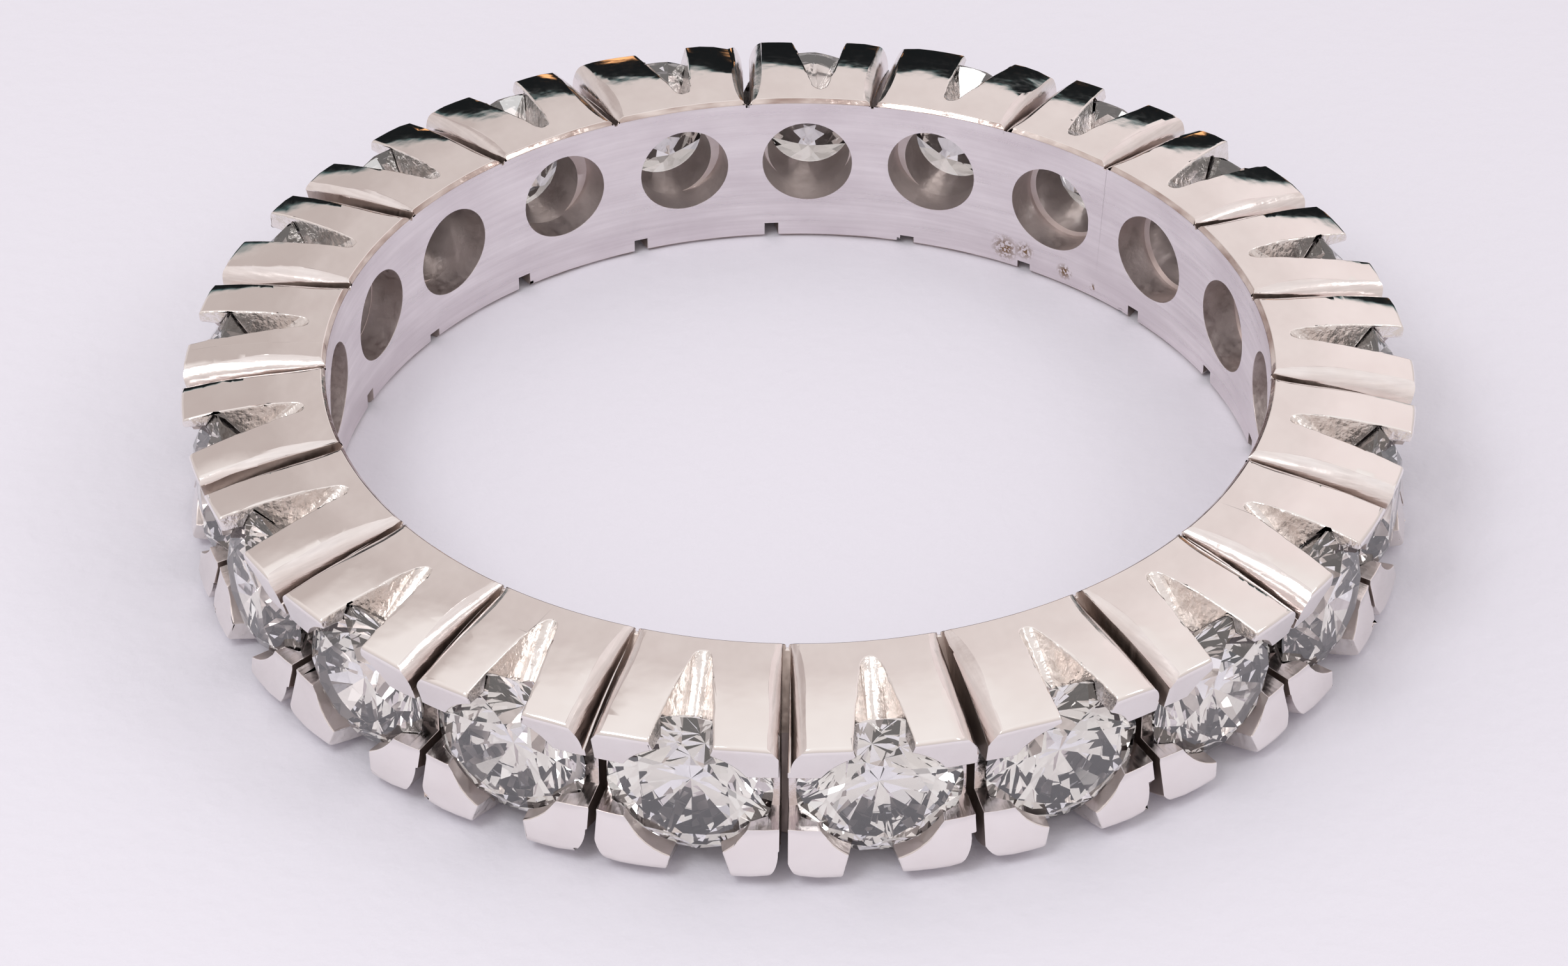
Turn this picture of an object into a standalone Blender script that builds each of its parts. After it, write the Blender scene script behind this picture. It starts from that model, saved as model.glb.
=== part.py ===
"""Eternity ring: one cast band that carries a full circle of round brilliant stones.

Metres, +Z up. The ring lies on its side: its axis is +Z, its underside is at z = 0, and the
middle of the finger hole is at the origin. Stone 1 is at +Y and the numbers go clockwise seen
from above. Run it from Blender's text editor or with blender --background --python part.py.
"""

import math

import bmesh
import bpy
from mathutils import Matrix

# Finger hole and the round brilliant stones
FINGER_RADIUS = 0.0084
STONE_DIAMETER = 0.00275
STONE_SPACING = 0.0003
TABLE_DIAMETER = 0.00157
CROWN_ANGLE = math.radians(34.5)
PAVILION_ANGLE = math.radians(40.75)
GIRDLE_THICKNESS = 0.00006
STAR_LENGTH = 0.5
LOWER_GIRDLE_LENGTH = 0.77

# Where the stones sit in the band
CULET_HEIGHT = 0.00075
SEAT_CLEARANCE = 0.00003
AZURE_RADIUS = 0.000875
CLAW_COVER = 0.00022
CLAW_HEIGHT = 0.0006

# The band's sides
UPPER_MARGIN = 0.000125
LOWER_MARGIN = 0.000275
RIM_BEVEL = 0.00012
SIDE_FLAT = 0.00055
SIDE_DROP = 0.00028
EDGE_RADIUS = 0.00012
CLAW_DOME = 0.0002
CLAW_REACH = 0.00095

# Channel round the middle that parts the upper claws from the lower ones
CHANNEL_DEPTH = 0.0001
CHANNEL_WIDTH = 0.00118
CHANNEL_TAPER = 0.00012

# Filed scallop in the middle of each cell, on both sides
SCALLOP_START = 0.00045
SCALLOP_SLOPE = math.radians(39)
SCALLOP_ANGLE = math.radians(27)
SCALLOP_RADIUS = 0.00015

# Saw cuts between the cells
SLOT_WIDTH = 0.00014
SLOT_WALL = 0.00095
SLOT_LAND = 0.0008
SLOT_RUNOUT = 0.0005
RIM_NICK = 0.00006
FLARE_RIM_WIDTH = 0.00032
FLARE_RIM_DEPTH = 0.00012
FLARE_KNEE = 0.0008
FLARE_KNEE_WIDTH = 0.0006
FLARE_KNEE_DEPTH = 0.00035
FLARE_WIDTH = 0.00068
FLARE_DEPTH = 0.00075
FLARE_ROOT = 0.2
FLARE_SPAN = 0.8
UNDERCUT_WIDTH = 0.00025
UNDERCUT_HEIGHT = 0.00033
UNDERCUT_SKEW = math.radians(12)

# Fineness of the turned shapes
STEPS_PER_CELL = 3
SEAT_SIDES = 18
ARC_STEPS = 2
SIDE_STEPS = 2
FLARE_STEPS = 2
OVERSHOOT = 0.0008

# Worked out from the sizes above
STONE_RADIUS = STONE_DIAMETER / 2
TABLE_RADIUS = TABLE_DIAMETER / 2
CROWN_HEIGHT = (STONE_RADIUS - TABLE_RADIUS) * math.tan(CROWN_ANGLE)
PAVILION_DEPTH = STONE_RADIUS * math.tan(PAVILION_ANGLE)
GIRDLE_RADIUS = FINGER_RADIUS + CULET_HEIGHT + PAVILION_DEPTH + GIRDLE_THICKNESS
STONE_COUNT = math.floor(2 * math.pi * GIRDLE_RADIUS / (STONE_DIAMETER + STONE_SPACING))
PITCH = 2 * math.pi / STONE_COUNT
BAND_WIDTH = LOWER_MARGIN + STONE_DIAMETER + UPPER_MARGIN
MIDDLE = BAND_WIDTH / 2
STONE_LEVEL = LOWER_MARGIN + STONE_RADIUS
CLAW_RADIUS = GIRDLE_RADIUS + CLAW_HEIGHT
FLAT_END = FINGER_RADIUS + RIM_BEVEL + SIDE_FLAT
BEYOND = CLAW_RADIUS + OVERSHOOT
TURN_STEPS = STONE_COUNT * STEPS_PER_CELL


def clear_scene():
    """Empty the scene before anything is modelled."""
    for thing in list(bpy.data.objects):
        bpy.data.objects.remove(thing, do_unlink=True)


def collection(name):
    """A collection of that name in the scene."""
    made = bpy.data.collections.new(name)
    bpy.context.scene.collection.children.link(made)
    return made


def material(name, colour, roughness, metallic, transmission=0.0, ior=1.5):
    """A plain Principled material."""
    made = bpy.data.materials.new(name)
    made.use_nodes = True
    shader = made.node_tree.nodes["Principled BSDF"]
    shader.inputs["Base Color"].default_value = (*colour, 1)
    shader.inputs["Roughness"].default_value = roughness
    shader.inputs["Metallic"].default_value = metallic
    shader.inputs["Transmission Weight"].default_value = transmission
    shader.inputs["IOR"].default_value = ior
    made.diffuse_color = (*colour, 1)
    return made


def arc(centre, radius, start, end, steps):
    """Points on an arc round a centre, from one angle to another."""
    angles = (start + (end - start) * i / steps for i in range(steps + 1))
    return [(centre[0] + radius * math.cos(a), centre[1] + radius * math.sin(a)) for a in angles]


def turned(name, profile, steps, holder, closed=False):
    """A profile in the XZ plane turned about Z, listed down its outer side."""
    mesh = bpy.data.meshes.new(name)
    shape = bmesh.new()
    corners = [shape.verts.new((x, 0, z)) for x, z in profile]
    for i in range(len(corners) - (0 if closed else 1)):
        shape.edges.new((corners[i], corners[(i + 1) % len(corners)]))
    shape.to_mesh(mesh)
    shape.free()
    thing = bpy.data.objects.new(name, mesh)
    holder.objects.link(thing)
    screw = thing.modifiers.new("turn", 'SCREW')
    screw.axis = 'Z'
    screw.steps = steps
    screw.render_steps = steps
    screw.use_merge_vertices = True
    screw.merge_threshold = 1e-7
    screw.use_smooth_shade = True
    return thing


def evaluated(thing):
    """The mesh that an object shows, as new data, with coinciding points made one."""
    made = bpy.data.meshes.new_from_object(thing.evaluated_get(bpy.context.evaluated_depsgraph_get()))
    shape = bmesh.new()
    shape.from_mesh(made)
    bmesh.ops.remove_doubles(shape, verts=shape.verts, dist=1e-7)
    shape.to_mesh(made)
    shape.free()
    return made


def prism(name, outline, depth, holder):
    """The mesh of an outline in the XY plane, made solid to half its depth on both sides."""
    curve = bpy.data.curves.new(name, 'CURVE')
    curve.dimensions = '2D'
    curve.fill_mode = 'BOTH'
    curve.extrude = depth / 2
    spline = curve.splines.new('POLY')
    spline.points.add(len(outline) - 1)
    for point, (x, y) in zip(spline.points, outline):
        point.co = (x, y, 0, 1)
    spline.use_cyclic_u = True
    guide = bpy.data.objects.new(name, curve)
    holder.objects.link(guide)
    made = evaluated(guide)
    bpy.data.objects.remove(guide)
    return made


def cutter(name, mesh, places, holder):
    """One cutter object that holds a copy of the mesh at each place."""
    shape = bmesh.new()
    for place in places:
        one = mesh.copy()
        one.transform(place)
        shape.from_mesh(one)
        bpy.data.meshes.remove(one)
    bmesh.ops.recalc_face_normals(shape, faces=shape.faces)
    joined = bpy.data.meshes.new(name)
    shape.to_mesh(joined)
    shape.free()
    return hidden(bpy.data.objects.new(name, joined), holder)


def hidden(thing, holder):
    """Mark an object as a cutter."""
    if thing.name not in holder.objects:
        holder.objects.link(thing)
    thing.hide_render = True
    thing.display_type = 'WIRE'
    return thing


def cut(thing, tools):
    """Take a collection's cutters out of an object, all at once."""
    step = thing.modifiers.new(tools.name, 'BOOLEAN')
    step.operation = 'DIFFERENCE'
    step.solver = 'EXACT'
    step.operand_type = 'COLLECTION'
    step.collection = tools


def turn(cell):
    """The turn from +Y to a cell, counted clockwise from above."""
    return Matrix.Rotation(-cell * PITCH, 4, 'Z')


def both_sides():
    """The places of the upper and the lower side, the lower one turned about the radial axis."""
    lift = Matrix.Translation((0, 0, MIDDLE))
    return [Matrix.Identity(4), lift @ Matrix.Rotation(math.pi, 4, 'Y') @ lift.inverted()]


def side_height(radius):
    """Height of the band's upper side at a radius: flat, then falling off in a parabola."""
    share = max(0.0, radius - FLAT_END) / (CLAW_RADIUS - EDGE_RADIUS - FLAT_END)
    return BAND_WIDTH - SIDE_DROP * share**2


def half_profile():
    """The upper half of the band's section, from its middle outside over the side to the bore."""
    edge = CLAW_RADIUS - EDGE_RADIUS
    fall = math.atan(2 * SIDE_DROP / (edge - FLAT_END))
    centre = (edge, side_height(edge) - EDGE_RADIUS / math.cos(fall))
    outer = [(CLAW_RADIUS - CLAW_DOME, BAND_WIDTH - CLAW_REACH)]
    outer += arc(centre, EDGE_RADIUS, 0, math.pi / 2 - fall, ARC_STEPS)[:-1]
    inward = [edge + (FLAT_END - edge) * i / SIDE_STEPS for i in range(SIDE_STEPS + 1)]
    side = [(radius, side_height(radius)) for radius in inward]
    rim = [(FINGER_RADIUS + RIM_BEVEL, BAND_WIDTH), (FINGER_RADIUS, BAND_WIDTH - RIM_BEVEL)]
    return outer + side + rim


def band_blank(holder):
    """The cast band before it is cut: a closed section turned about the finger hole."""
    upper = half_profile()
    lower = [(radius, BAND_WIDTH - height) for radius, height in upper]
    return turned("band", list(reversed(upper)) + lower, TURN_STEPS, holder, closed=True)


def stone_mesh():
    """A round brilliant on local +Z, with its culet down and its girdle's top at z = GIRDLE_RADIUS."""
    def ring(radius, height, count, start=0.0):
        steps = (start + 2 * math.pi * i / count for i in range(count))
        return [(radius * math.cos(a), radius * math.sin(a), height) for a in steps]

    half = math.pi / 8
    crown = math.tan(CROWN_ANGLE)
    pavilion = math.tan(PAVILION_ANGLE)
    bottom = GIRDLE_RADIUS - GIRDLE_THICKNESS
    edge_middle = TABLE_RADIUS * math.cos(half)
    star = edge_middle + (STONE_RADIUS - edge_middle) * STAR_LENGTH
    lower = STONE_RADIUS * (1 - LOWER_GIRDLE_LENGTH)
    points = ring(TABLE_RADIUS, GIRDLE_RADIUS + CROWN_HEIGHT, 8)
    points += ring(star, GIRDLE_RADIUS + (STONE_RADIUS - star * math.cos(half)) * crown, 8, half)
    points += ring(STONE_RADIUS, GIRDLE_RADIUS, 16)
    points += ring(STONE_RADIUS, bottom, 16)
    points += ring(lower, bottom - (STONE_RADIUS - lower * math.cos(half)) * pavilion, 8, half)
    points += [(0, 0, bottom - PAVILION_DEPTH)]
    mesh = bpy.data.meshes.new("brilliant")
    shape = bmesh.new()
    corners = [shape.verts.new(point) for point in points]
    bmesh.ops.convex_hull(shape, input=corners)
    bmesh.ops.recalc_face_normals(shape, faces=shape.faces)
    shape.to_mesh(mesh)
    shape.free()
    return mesh


def stone_place(cell):
    """The place of a mesh on local +Z that points out through a cell's middle."""
    return turn(cell) @ Matrix.Translation((0, 0, STONE_LEVEL)) @ Matrix.Rotation(-math.pi / 2, 4, 'X')


def seat_cutter(holder):
    """Azure hole, V seat for the girdle and the opening above it, in one bore for each stone."""
    opening = STONE_RADIUS - CLAW_COVER
    edge = GIRDLE_RADIUS - GIRDLE_THICKNESS / 2
    crown = math.tan(CROWN_ANGLE)
    seat = STONE_RADIUS + SEAT_CLEARANCE + GIRDLE_THICKNESS / 2 / crown
    profile = [(0, BEYOND), (opening, BEYOND), (opening, edge + (seat - opening) * crown), (seat, edge)]
    profile += [(AZURE_RADIUS, edge - (seat - AZURE_RADIUS) * math.tan(PAVILION_ANGLE))]
    profile += [(AZURE_RADIUS, FINGER_RADIUS - OVERSHOOT), (0, FINGER_RADIUS - OVERSHOOT)]
    pattern = turned("seat_pattern", profile, SEAT_SIDES, holder)
    mesh = evaluated(pattern)
    bpy.data.objects.remove(pattern)
    return cutter("seat_cutter", mesh, [stone_place(k) for k in range(STONE_COUNT)], holder)


def channel_cutter(holder):
    """A turned ring that clears the middle of the outside, down to just under the girdles."""
    floor = GIRDLE_RADIUS - GIRDLE_THICKNESS - CHANNEL_DEPTH
    narrow = CHANNEL_WIDTH / 2 - CHANNEL_TAPER
    wide = CHANNEL_WIDTH / 2 + CHANNEL_TAPER
    profile = [(BEYOND, STONE_LEVEL + wide), (BEYOND, STONE_LEVEL - wide)]
    profile += [(floor, STONE_LEVEL - narrow), (floor, STONE_LEVEL + narrow)]
    return hidden(turned("channel_cutter", profile, TURN_STEPS, holder, closed=True), holder)


def scallop_cutter(holder, name, side):
    """Round-nosed V grooves, filed outward and down from the flat of one side."""
    length = 2 * (CLAW_RADIUS - FINGER_RADIUS) / math.cos(SCALLOP_SLOPE)
    height = BAND_WIDTH
    left, right = math.pi + SCALLOP_ANGLE, 2 * math.pi - SCALLOP_ANGLE
    nose = arc((0, SCALLOP_RADIUS), SCALLOP_RADIUS, left, right, ARC_STEPS)
    spread = (height - nose[0][1]) * math.tan(SCALLOP_ANGLE)
    outline = nose + [(nose[-1][0] + spread, height), (nose[0][0] - spread, height)]
    mesh = prism("scallop_pattern", outline, length, holder)
    start = Matrix.Translation((0, FINGER_RADIUS + SCALLOP_START, BAND_WIDTH))
    along = Matrix.Rotation(-math.pi / 2 - SCALLOP_SLOPE, 4, 'X') @ Matrix.Rotation(math.pi, 4, 'Z')
    slide = Matrix.Translation((0, 0, length / 4))
    places = [turn(k) @ side @ start @ along @ slide for k in range(STONE_COUNT)]
    return cutter(name, mesh, places, holder)


def slot_cutter(holder):
    """Saw cuts between the cells: down to the bore's edge above, shallow over the middle and below."""
    inner = FINGER_RADIUS - OVERSHOOT
    floor = FINGER_RADIUS + SLOT_WALL
    land = SLOT_LAND / 2
    slope = (MIDDLE - RIM_NICK - land) / SLOT_WALL
    above = BAND_WIDTH + 2 * OVERSHOOT
    outline = [(inner, BAND_WIDTH - RIM_NICK + OVERSHOOT * slope), (floor, MIDDLE + land)]
    outline += [(floor, MIDDLE - land), (floor + SLOT_RUNOUT, -OVERSHOOT), (BEYOND, -OVERSHOOT)]
    outline += [(BEYOND, above), (inner, above)]
    mesh = prism("slot_pattern", outline, SLOT_WIDTH, holder)
    upright = Matrix(((0, 0, 1, 0), (1, 0, 0, 0), (0, 1, 0, 0), (0, 0, 0, 1)))
    places = [turn(k + 0.5) @ upright for k in range(STONE_COUNT)]
    return cutter("slot_cutter", mesh, places, holder)


def skewed():
    """The turn of the lower saw cuts about the claws' radius."""
    pivot = Matrix.Translation((0, CLAW_RADIUS, 0))
    return pivot @ Matrix.Rotation(UNDERCUT_SKEW, 4, 'Z') @ pivot.inverted()


def undercut_cutter(holder):
    """Wider saw cuts across the underside, askew, that come out beside the cells' bounds in the bore."""
    inner = FINGER_RADIUS - OVERSHOOT
    outline = [(inner, -OVERSHOOT), (BEYOND, -OVERSHOOT)]
    outline += [(BEYOND, UNDERCUT_HEIGHT), (inner, UNDERCUT_HEIGHT)]
    mesh = prism("undercut_pattern", outline, UNDERCUT_WIDTH, holder)
    upright = Matrix(((0, 0, 1, 0), (1, 0, 0, 0), (0, 1, 0, 0), (0, 0, 0, 1)))
    places = [turn(k + 0.5) @ skewed() @ upright for k in range(STONE_COUNT)]
    return cutter("undercut_cutter", mesh, places, holder)


def flare_section(half_width, depth, level):
    """One section across a flare: round shoulders that run down to its root, open at the top."""
    angles = [math.pi / 2 * (1 - FLARE_SPAN * i / FLARE_STEPS) for i in range(FLARE_STEPS + 1)]
    right = [(half_width * (1 - (1 - FLARE_ROOT) * math.sin(a)), level - depth * (1 - math.cos(a)))
             for a in angles]
    right.append((half_width * 2, level + depth))
    return [(-x, z) for x, z in reversed(right)] + right


def flare_mesh():
    """The flare along a saw cut: from the rim over a knee on the flat to the claws' ends."""
    rim = (0, FLARE_RIM_WIDTH / 2, FLARE_RIM_DEPTH, BAND_WIDTH)
    knee = (FLARE_KNEE, FLARE_KNEE_WIDTH / 2, FLARE_KNEE_DEPTH, BAND_WIDTH)
    reach = CLAW_RADIUS - FINGER_RADIUS
    claw = (reach, FLARE_WIDTH / 2, FLARE_DEPTH, BAND_WIDTH - SIDE_DROP)
    share = OVERSHOOT / (reach - FLARE_KNEE)
    before = (-RIM_BEVEL, *rim[1:])
    after = tuple(far + share * (far - near) for near, far in zip(knee, claw))
    mesh = bpy.data.meshes.new("flare_pattern")
    shape = bmesh.new()
    rings = []
    for along, half_width, depth, level in (before, rim, knee, claw, after):
        section = flare_section(half_width, depth, level)
        rings.append([shape.verts.new((x, FINGER_RADIUS + along, z)) for x, z in section])
    for near, far in zip(rings, rings[1:]):
        for i in range(len(near)):
            j = (i + 1) % len(near)
            shape.faces.new((near[i], near[j], far[j], far[i]))
    shape.faces.new(rings[0])
    shape.faces.new(rings[-1])
    shape.to_mesh(mesh)
    shape.free()
    return mesh


def flare_cutter(holder):
    """The flares that open each saw cut to the outside, on both sides."""
    mesh = flare_mesh()
    upper, lower = both_sides()
    places = [turn(k + 0.5) @ upper for k in range(STONE_COUNT)]
    places += [turn(k + 0.5) @ skewed() @ lower for k in range(STONE_COUNT)]
    return cutter("flare_cutter", mesh, places, holder)


def build():
    """The band with everything cut from it, and one stone in each seat."""
    clear_scene()
    ring = collection("eternity_ring")
    cutters = collection("cutters")
    gold = material("white_gold", (0.78, 0.75, 0.74), 0.18, 1.0)
    diamond = material("diamond", (0.97, 0.97, 0.98), 0.0, 0.0, transmission=1.0, ior=2.42)

    band = band_blank(ring)
    band.data.materials.append(gold)
    upper, lower = both_sides()
    seat_cutter(cutters)
    channel_cutter(cutters)
    scallop_cutter(cutters, "upper_scallop_cutter", upper)
    scallop_cutter(cutters, "lower_scallop_cutter", lower)
    slot_cutter(cutters)
    undercut_cutter(cutters)
    flare_cutter(cutters)
    cut(band, cutters)

    brilliant = stone_mesh()
    brilliant.materials.append(diamond)
    for k in range(STONE_COUNT):
        stone = bpy.data.objects.new(f"stone_{k + 1:02d}", brilliant)
        stone.matrix_world = stone_place(k)
        ring.objects.link(stone)


build()
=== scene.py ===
"""The eternity ring's looks: a cast white gold band, cut by hand, with a circle of brilliants.

The band and the stones are modelled in millimetres and brought to metres when they are done.
"""

import math
import random

import bmesh
import bpy
from mathutils import Matrix, Vector


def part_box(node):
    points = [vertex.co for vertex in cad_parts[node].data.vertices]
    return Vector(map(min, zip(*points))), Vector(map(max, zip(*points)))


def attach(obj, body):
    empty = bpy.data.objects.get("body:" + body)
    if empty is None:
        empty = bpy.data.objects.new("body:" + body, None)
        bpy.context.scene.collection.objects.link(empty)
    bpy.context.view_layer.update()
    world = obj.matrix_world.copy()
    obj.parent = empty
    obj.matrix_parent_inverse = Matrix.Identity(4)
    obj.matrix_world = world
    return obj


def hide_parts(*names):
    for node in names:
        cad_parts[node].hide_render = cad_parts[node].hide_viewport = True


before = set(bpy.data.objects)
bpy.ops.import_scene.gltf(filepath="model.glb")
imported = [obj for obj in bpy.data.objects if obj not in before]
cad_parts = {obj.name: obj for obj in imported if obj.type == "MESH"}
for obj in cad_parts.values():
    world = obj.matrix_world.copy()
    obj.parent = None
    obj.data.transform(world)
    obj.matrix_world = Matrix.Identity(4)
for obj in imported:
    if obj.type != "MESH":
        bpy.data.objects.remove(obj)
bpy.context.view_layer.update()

MM = 0.001
NEAR = 0.01
hand = random.Random(21)

# Sizes that the frame gives, in millimetres
band_low, band_high = (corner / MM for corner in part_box("band"))
stone_low, stone_high = (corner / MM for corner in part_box("stone_01"))
STONES = len([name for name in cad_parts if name.startswith("stone_")])
PITCH = 2 * math.pi / STONES
WIDTH = band_high.z
MIDDLE = WIDTH / 2
TIP = max(*band_high, -band_low.x, -band_low.y)
STONE = (stone_high.x - stone_low.x) / 2
LEVEL = (stone_high.z + stone_low.z) / 2
CULET = stone_low.y
TABLE_TOP = stone_high.y

# The stones' cut
CROWN_ANGLE = math.radians(34.5)
PAVILION_ANGLE = math.radians(40.75)
STAR_LENGTH = 0.5
LOWER_LENGTH = 0.77
TABLE = 0.785
GIRDLE_LOW = CULET + STONE * math.tan(PAVILION_ANGLE)
GIRDLE_TOP = TABLE_TOP - (STONE - TABLE) * math.tan(CROWN_ANGLE)
GIRDLE_SIDES = 64
BLANK_SPARE = 0.2

# The band's section
BORE = 8.4
RIM_CHAMFER = 0.075
SHOULDER = 9.95
SHOULDER_ROUND = 0.8
SIDE_DROP = 0.22
TIP_ROUND = 0.1
CLAW_DOME = 0.2
CLAW_REACH = 0.95
SIDE_FLAT = 0.67
TURN_STEPS = STONES * 12

# The cushioned claws, with their middle and half width as shares of the pitch
CLAW_START = SHOULDER - 0.5
CLAW_MIDDLE = 0.3
CLAW_HALF = 0.2
PILLOW_RUN = 0.9
PILLOW_FALL = 0.09
PILLOW_TOWARDS_STONE = 0.15
PILLOW_PULL = 0.4

# The seats and the azure holes behind them
CLEARANCE = 0.012
CLAW_COVER = 0.22
SEAT_SIDES = 48
AZURE = 0.865
AZURE_DEPTH = 0.6
AZURE_STEP = 0.2
DRILL_TIP = 0.05
THROUGH = 0.8

# The channel, the scallops and the cuts between the cells
CHANNEL_DEPTH = 0.1
CHANNEL_WIDTH = 1.18
CHANNEL_TAPER = 0.12
SCALLOP_START = 0.45
SCALLOP_SLOPE = math.radians(39)
SCALLOP_ANGLE = math.radians(19)
SCALLOP_NOSE = 0.12
NOSE_ROUND = 0.9
SCALLOP_ROUGH = 0.035
SCALLOP_GRAIN = 0.11
SCALLOP_CUTS = 36
WALL_CUTS = 8
WALL_STEP = 0.05
SLOT_WIDTH = 0.13
SLOT_WALL = 0.95
SLOT_LAND = 0.8
SLOT_RUNOUT = 0.5
SLOT_TOP = WIDTH + 3
RIM_NICK = 0.06
FLARE_RIM = (0.15, 0.12)
FLARE_CLAW = (0.42, 0.55)
FLARE_KNEE = 0.45
FLARE_ROOT = 0.16
FLARE_ARC = 0.85
FLARE_STEPS = 7
FLARE_STATIONS = (-0.15, 0.0, 0.15, 0.35, 0.6, 1.0, 1.5, 2.0)
UNDERCUT_WIDTH = 0.25
UNDERCUT_HEIGHT = 0.33
UNDERCUT_SKEW = math.radians(12)
BELOW = -1
MARGIN = 0.8
BEYOND = TIP + MARGIN
BEFORE = BORE - MARGIN

# The edges
SEAM = 0.0001
MERGE = 0.001
EDGE_ROUND = 0.034
INNER_EDGES = 0.5
SHARP = math.radians(38)
SMOOTH = math.radians(35)

# How far the hand wanders: angles in degrees, flare sizes as shares, the rest in millimetres
SEAT_SLIP = 0.012
SEAT_TWIST = 4
AZURE_ALONG = (-0.08, 0.08)
AZURE_UP = (-0.05, 0.12)
SCALLOP_STROKE = (-5, 5)
SCALLOP_ALONG = (-0.05, 0.05)
SCALLOP_OUT = (-0.09, 0.05)
SCALLOP_UP = (-0.02, 0.03)
SCALLOP_ROLL = (-4, 4)
SLOT_LEAN = (-0.35, 0.35)
UNDERCUT_ALONG = (-0.15, 0.15)
UNDERCUT_UP = (-0.12, 0.02)
FLARE_WIDER = (0.85, 1.15)
FLARE_DEEPER = (0.9, 1.15)
FLARE_STROKE = (-1.2, 1.2)

# Slips of the hand that the photograph shows, by cell: saw cuts in degrees, the rest in millimetres
SLOT_SLIPS = {20: 1.3, 1: 1.2, 2: -0.5}
SLOT_TWISTS = {20: 5.0}
SCALLOP_SLIPS = {20: 0.15, 0: 0.14}
UNDERCUT_SLIPS = {18: (-0.16, 0.0), 19: (-0.1, -0.02), 20: (0.0, 0.0), 0: (0.16, -0.14), 1: (0.1, -0.12),
                  2: (0.25, -0.03)}
AZURE_SLIPS = {18: (-0.12, 0.06), 19: (0.1, 0.14), 20: (0.1, 0.08), 0: (0.0, 0.1), 1: (-0.07, 0.12),
               2: (-0.03, -0.02), 3: (-0.05, -0.02)}

# Camera, in millimetres
LENS = 107.39
CAMERA_PLACE = (1.44, -68.515, 50.623)
CAMERA_AIM = (-0.214, -1.812, 1.5)
CAMERA_ROLL = math.radians(-0.13)

# The studio, by direction: a tent by height, a wall behind by width, a dark gap in it and warm lamps
TENT = ((0.0, (0.72, 0.70, 0.76)), (0.46, (0.72, 0.70, 0.74)), (0.52, (0.72, 0.66, 0.65)),
        (0.70, (0.78, 0.72, 0.70)), (0.85, (0.92, 0.86, 0.84)), (1.0, (1.0, 0.97, 0.96)))
WALL = ((0.0, (0.60, 0.53, 0.51)), (0.5, (0.80, 0.73, 0.715)), (1.0, (0.96, 0.87, 0.86)))
WALL_ACROSS = (-0.2, 0.2)
WALL_BEHIND = (0.4, 0.6)
WALL_TOP = (0.66, 0.8)
WALL_FOOT = (0.3, 0.4)
GAP = ((0.0, (1, 1, 1)), (0.5, (0.12, 0.24, 0.25)), (0.7, (0.014, 0.018, 0.020)))
GAP_BEHIND = (0.87, 0.93)
GAP_TOP = (0.32, 0.38)
GAP_FOOT = (-0.16, -0.10)
WARM = (1.5, 0.75, 0.33)
WARM_PLACES = ((-0.09, 0.985, 0.13), (0.10, 0.985, 0.09), (0.27, 0.95, 0.14))
WARM_SIZE = (0.022, 0.036)
BACKDROP = (0.82, 0.80, 0.87)
MIRRORED_FLOOR = 26
FLOOR_GROWTH = 80


def select_only(*things):
    """Select these objects and no other, with the first one active."""
    for other in list(bpy.context.selected_objects):
        other.select_set(False)
    for thing in things:
        thing.select_set(True)
    bpy.context.view_layer.objects.active = things[0]


def open_for_edit(thing, kind):
    """Open a piece for modelling with nothing selected in it."""
    select_only(thing)
    bpy.ops.object.mode_set(mode='EDIT')
    bpy.ops.mesh.select_mode(type=kind)
    bpy.ops.mesh.select_all(action='DESELECT')


def close_edit():
    """Back to object mode."""
    bpy.ops.object.mode_set(mode='OBJECT')


def pick(thing, kind, rule):
    """In edit mode, select the corners, edges or faces whose middle the rule accepts."""
    bpy.ops.mesh.select_mode(type=kind)
    shape = bmesh.from_edit_mesh(thing.data)
    for part in {'VERT': shape.verts, 'EDGE': shape.edges, 'FACE': shape.faces}[kind]:
        corners = [part] if kind == 'VERT' else part.verts
        middle = sum((corner.co for corner in corners), Vector()) / len(corners)
        part.select_set(bool(rule(middle)))
    shape.select_flush_mode()
    bmesh.update_edit_mesh(thing.data)


def added(name):
    """The primitive that was just added, named and with its place in its mesh."""
    thing = bpy.context.object
    thing.name = name
    select_only(thing)
    bpy.ops.object.transform_apply(location=True, rotation=True, scale=True)
    return thing


def apply(thing, kind, **settings):
    """Give a piece a modifier and apply it."""
    bpy.context.view_layer.objects.active = thing
    step = thing.modifiers.new(kind.lower(), kind)
    for name, value in settings.items():
        setattr(step, name, value)
    bpy.ops.object.modifier_apply(modifier=step.name)


def outline(name, corners):
    """A flat outline in the XZ plane, from a disc with one rim point for each corner."""
    bpy.ops.mesh.primitive_circle_add(vertices=len(corners), fill_type='NGON')
    thing = added(name)
    for point, (x, z) in zip(thing.data.vertices, corners):
        point.co = (x, 0, z)
    return thing


def round_corners(thing, rule, size, segments):
    """Round some corners of a flat outline."""
    pick(thing, 'VERT', rule)
    bpy.ops.mesh.bevel(offset=size, segments=segments, affect='VERTICES', clamp_overlap=True)


def spin_outline(thing, steps):
    """Turn an outline's edge round Z into a closed ring."""
    bpy.ops.mesh.select_mode(type='FACE')
    bpy.ops.mesh.select_all(action='SELECT')
    bpy.ops.mesh.delete(type='ONLY_FACE')
    bpy.ops.mesh.select_all(action='SELECT')
    bpy.ops.mesh.spin(steps=steps, angle=2 * math.pi, center=(0, 0, 0), axis=(0, 0, 1))
    bpy.ops.mesh.select_all(action='SELECT')
    bpy.ops.mesh.remove_doubles(threshold=SEAM)
    bpy.ops.mesh.normals_make_consistent(inside=False)


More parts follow.
